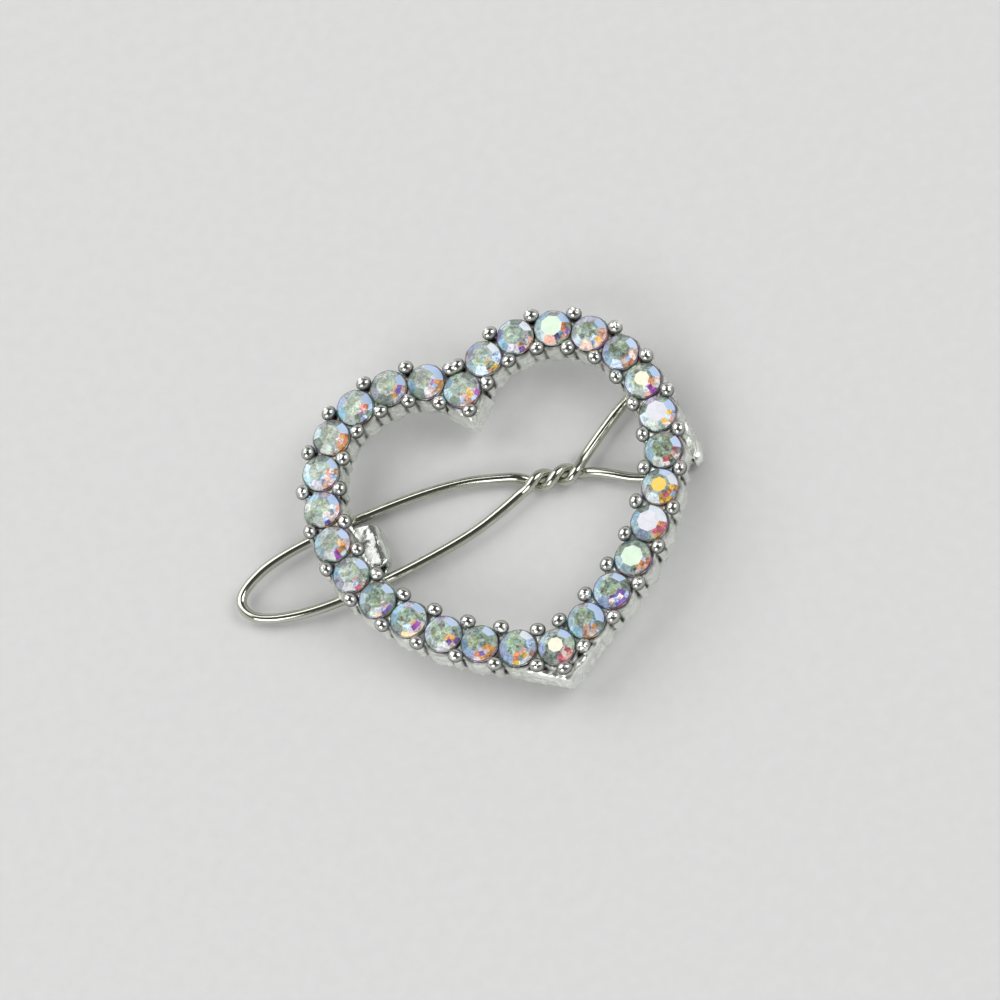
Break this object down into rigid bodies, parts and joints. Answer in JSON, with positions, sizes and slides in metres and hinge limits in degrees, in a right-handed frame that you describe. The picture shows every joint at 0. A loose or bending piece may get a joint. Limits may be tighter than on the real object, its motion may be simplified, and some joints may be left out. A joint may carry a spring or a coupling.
{
  "type": "rhinestone hair clip",
  "caption": "Open heart hair clip with a row of round faceted rhinestones, and behind it a hinged, once-twisted spring wire that snaps over a catch.",
  "frame": {"origin": "bottom centre of the clip's bounding box, on the plane that it lies on, stones up", "axes": "+X along the spring wire from its hairpin loop to its hinge, +Y from the heart's point to its lobes, +Z out of the stones"},
  "size_m": [0.0392, 0.0306, 0.0051],
  "materials": {
    "cast_silver": "bright silver plate over an uneven casting",
    "crystal": "cut glass with an iridescent coating",
    "adhesive": "clear set adhesive",
    "spring_silver": "bright silver plated wire"
  },
  "bodies": {
    "heart": {"heart_frame": "cast_silver", "hinge_lug": "cast_silver", "catch_hook": "cast_silver", "glue_spots": "adhesive", "stone_01": "crystal", "stone_02": "crystal", "stone_03": "crystal", "stone_04": "crystal", "stone_05": "crystal", "stone_06": "crystal", "stone_07": "crystal", "stone_08": "crystal", "stone_09": "crystal", "stone_10": "crystal", "stone_11": "crystal", "stone_12": "crystal", "stone_13": "crystal", "stone_14": "crystal", "stone_15": "crystal", "stone_16": "crystal", "stone_17": "crystal", "stone_18": "crystal", "stone_19": "crystal", "stone_20": "crystal", "stone_21": "crystal", "stone_22": "crystal", "stone_23": "crystal", "stone_24": "crystal", "stone_25": "crystal", "stone_26": "crystal", "stone_27": "crystal", "stone_28": "crystal"},
    "wire": {"wire_spring": "spring_silver"}
  },
  "joints": [
    {"name": "wire_hinge", "type": "hinge", "parent": "heart", "child": "wire", "pos_m": [0.01872, 0.00157, 0.00092], "axis": [0, -1, 0], "range_deg": [0, 75]}
  ]
}
